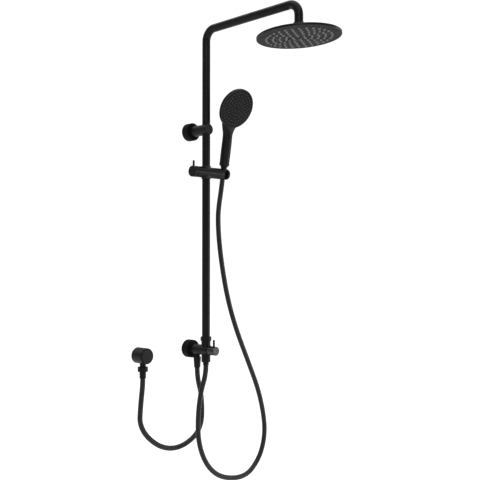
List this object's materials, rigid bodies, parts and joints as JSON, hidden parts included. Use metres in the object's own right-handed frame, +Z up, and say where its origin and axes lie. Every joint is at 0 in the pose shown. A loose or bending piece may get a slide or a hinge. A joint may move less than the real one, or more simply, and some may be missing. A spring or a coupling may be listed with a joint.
{
  "type": "rainfall shower column",
  "caption": "Wall-mounted shower column with a round rain head on a fixed arm, a hand shower in a sliding tilting cradle, a diverter and two flexible hoses.",
  "frame": {"origin": "centre of the lower wall flange's back face, on the wall plane", "axes": "+X along the wall to the right of somebody who faces it, +Y into the wall, +Z up"},
  "size_m": [0.429, 0.5194, 1.2573],
  "materials": {
    "black_coat": "satin black coating over brass and steel",
    "black_plastic": "satin black plastic",
    "face_plastic": "dark spray face, slightly matt",
    "silicone": "light grey soft nozzles",
    "nylon": "dark running plastic",
    "seal_rubber": "black sealing rubber",
    "brass": "machined brass, hidden inside",
    "steel": "plain stainless steel",
    "hose_cover": "smooth black flexible cover"
  },
  "bodies": {
    "column": {"lower_wall_socket": "brass", "upper_wall_socket": "brass", "lower_flange_cover": "black_coat", "upper_flange_cover": "black_coat", "socket_grub_screws": "steel", "tube_grub_screw": "steel", "upper_post": "black_coat", "tube_joiner": "brass", "joiner_seals": "seal_rubber", "slide_rail": "black_coat", "gooseneck": "black_coat", "riser_nut": "black_coat", "riser_seal": "seal_rubber", "diverter_body": "black_coat", "cartridge_sleeve": "brass", "cartridge_seals": "seal_rubber", "cartridge_nut": "brass", "arm_nipple": "brass", "arm_seal": "seal_rubber", "ball_stem": "black_coat", "elbow_body": "black_coat", "elbow_cover": "black_coat", "supply_hose_nut": "black_coat", "supply_hose_washer": "seal_rubber", "supply_hose_ferrule": "black_coat", "supply_hose": "hose_cover", "inlet_cone_nut": "black_coat", "inlet_washer": "seal_rubber", "hand_hose_nut": "black_coat", "hand_hose_washer": "seal_rubber", "hand_hose_ferrule": "black_coat", "hand_hose": "hose_cover"},
    "diverter_knob": {"cartridge_spindle": "brass", "diverter_knob": "black_coat", "knob_screw": "steel", "knob_cap": "black_coat", "knob_pin": "black_coat"},
    "carriage": {"upper_rail_bushing": "nylon", "lower_rail_bushing": "nylon"},
    "slider": {"slider_body": "black_coat", "lock_shoe": "nylon", "tilt_ring": "nylon", "tilt_spring_washers": "steel"},
    "slider_lock": {"lock_cap": "black_coat", "lock_screw": "steel", "lock_pin": "black_coat"},
    "cradle": {"cradle": "black_plastic", "pivot_bolt": "steel"},
    "hand_shower": {"hose_cone": "black_coat", "handset_washer": "seal_rubber", "handset_insert": "brass", "handset_shell": "black_plastic", "handset_spray_plate": "face_plastic", "handset_nozzles": "silicone", "handset_chamber": "nylon"},
    "ball_seat": {"ball_seat": "nylon"},
    "rain_head": {"head_top": "black_plastic", "head_retainer": "black_plastic", "head_face_plate": "face_plastic", "head_nozzles": "silicone"}
  },
  "joints": [
    {"name": "diverter_turn", "type": "hinge", "parent": "column", "child": "diverter_knob", "pos_m": [0, -0.1, 0], "axis": [0, -1, 0], "range_deg": [0, 180]},
    {"name": "slider_travel", "type": "slide", "parent": "column", "child": "carriage", "axis": [0, 0, 1], "range_m": [-0.42, 0.07], "deforming": ["hand_hose"]},
    {"name": "slider_swing", "type": "hinge", "parent": "carriage", "child": "slider", "pos_m": [0, -0.074, 0.4835], "axis": [0, 0, 1], "range_deg": [-35, 35]},
    {"name": "lock_turn", "type": "hinge", "parent": "slider", "child": "slider_lock", "pos_m": [-0.045, -0.074, 0.4835], "axis": [1, 0, 0], "range_deg": [0, 90]},
    {"name": "cradle_tilt", "type": "hinge", "parent": "slider", "child": "cradle", "pos_m": [0.063, -0.074, 0.4835], "axis": [1, 0, 0], "range_deg": [-5, 35]},
    {"name": "hand_shower_lift", "type": "slide", "parent": "cradle", "child": "hand_shower", "axis": [0, -0.1736, 0.9848], "range_m": [0, 0.025]},
    {"name": "head_pitch", "type": "hinge", "parent": "column", "child": "ball_seat", "pos_m": [0, -0.414, 0.8], "axis": [1, 0, 0], "range_deg": [-5.5, 10.5]},
    {"name": "head_roll", "type": "hinge", "parent": "ball_seat", "child": "rain_head", "pos_m": [0, -0.414, 0.8], "axis": [0, 1, 0], "range_deg": [-5.5, 10.5]}
  ]
}
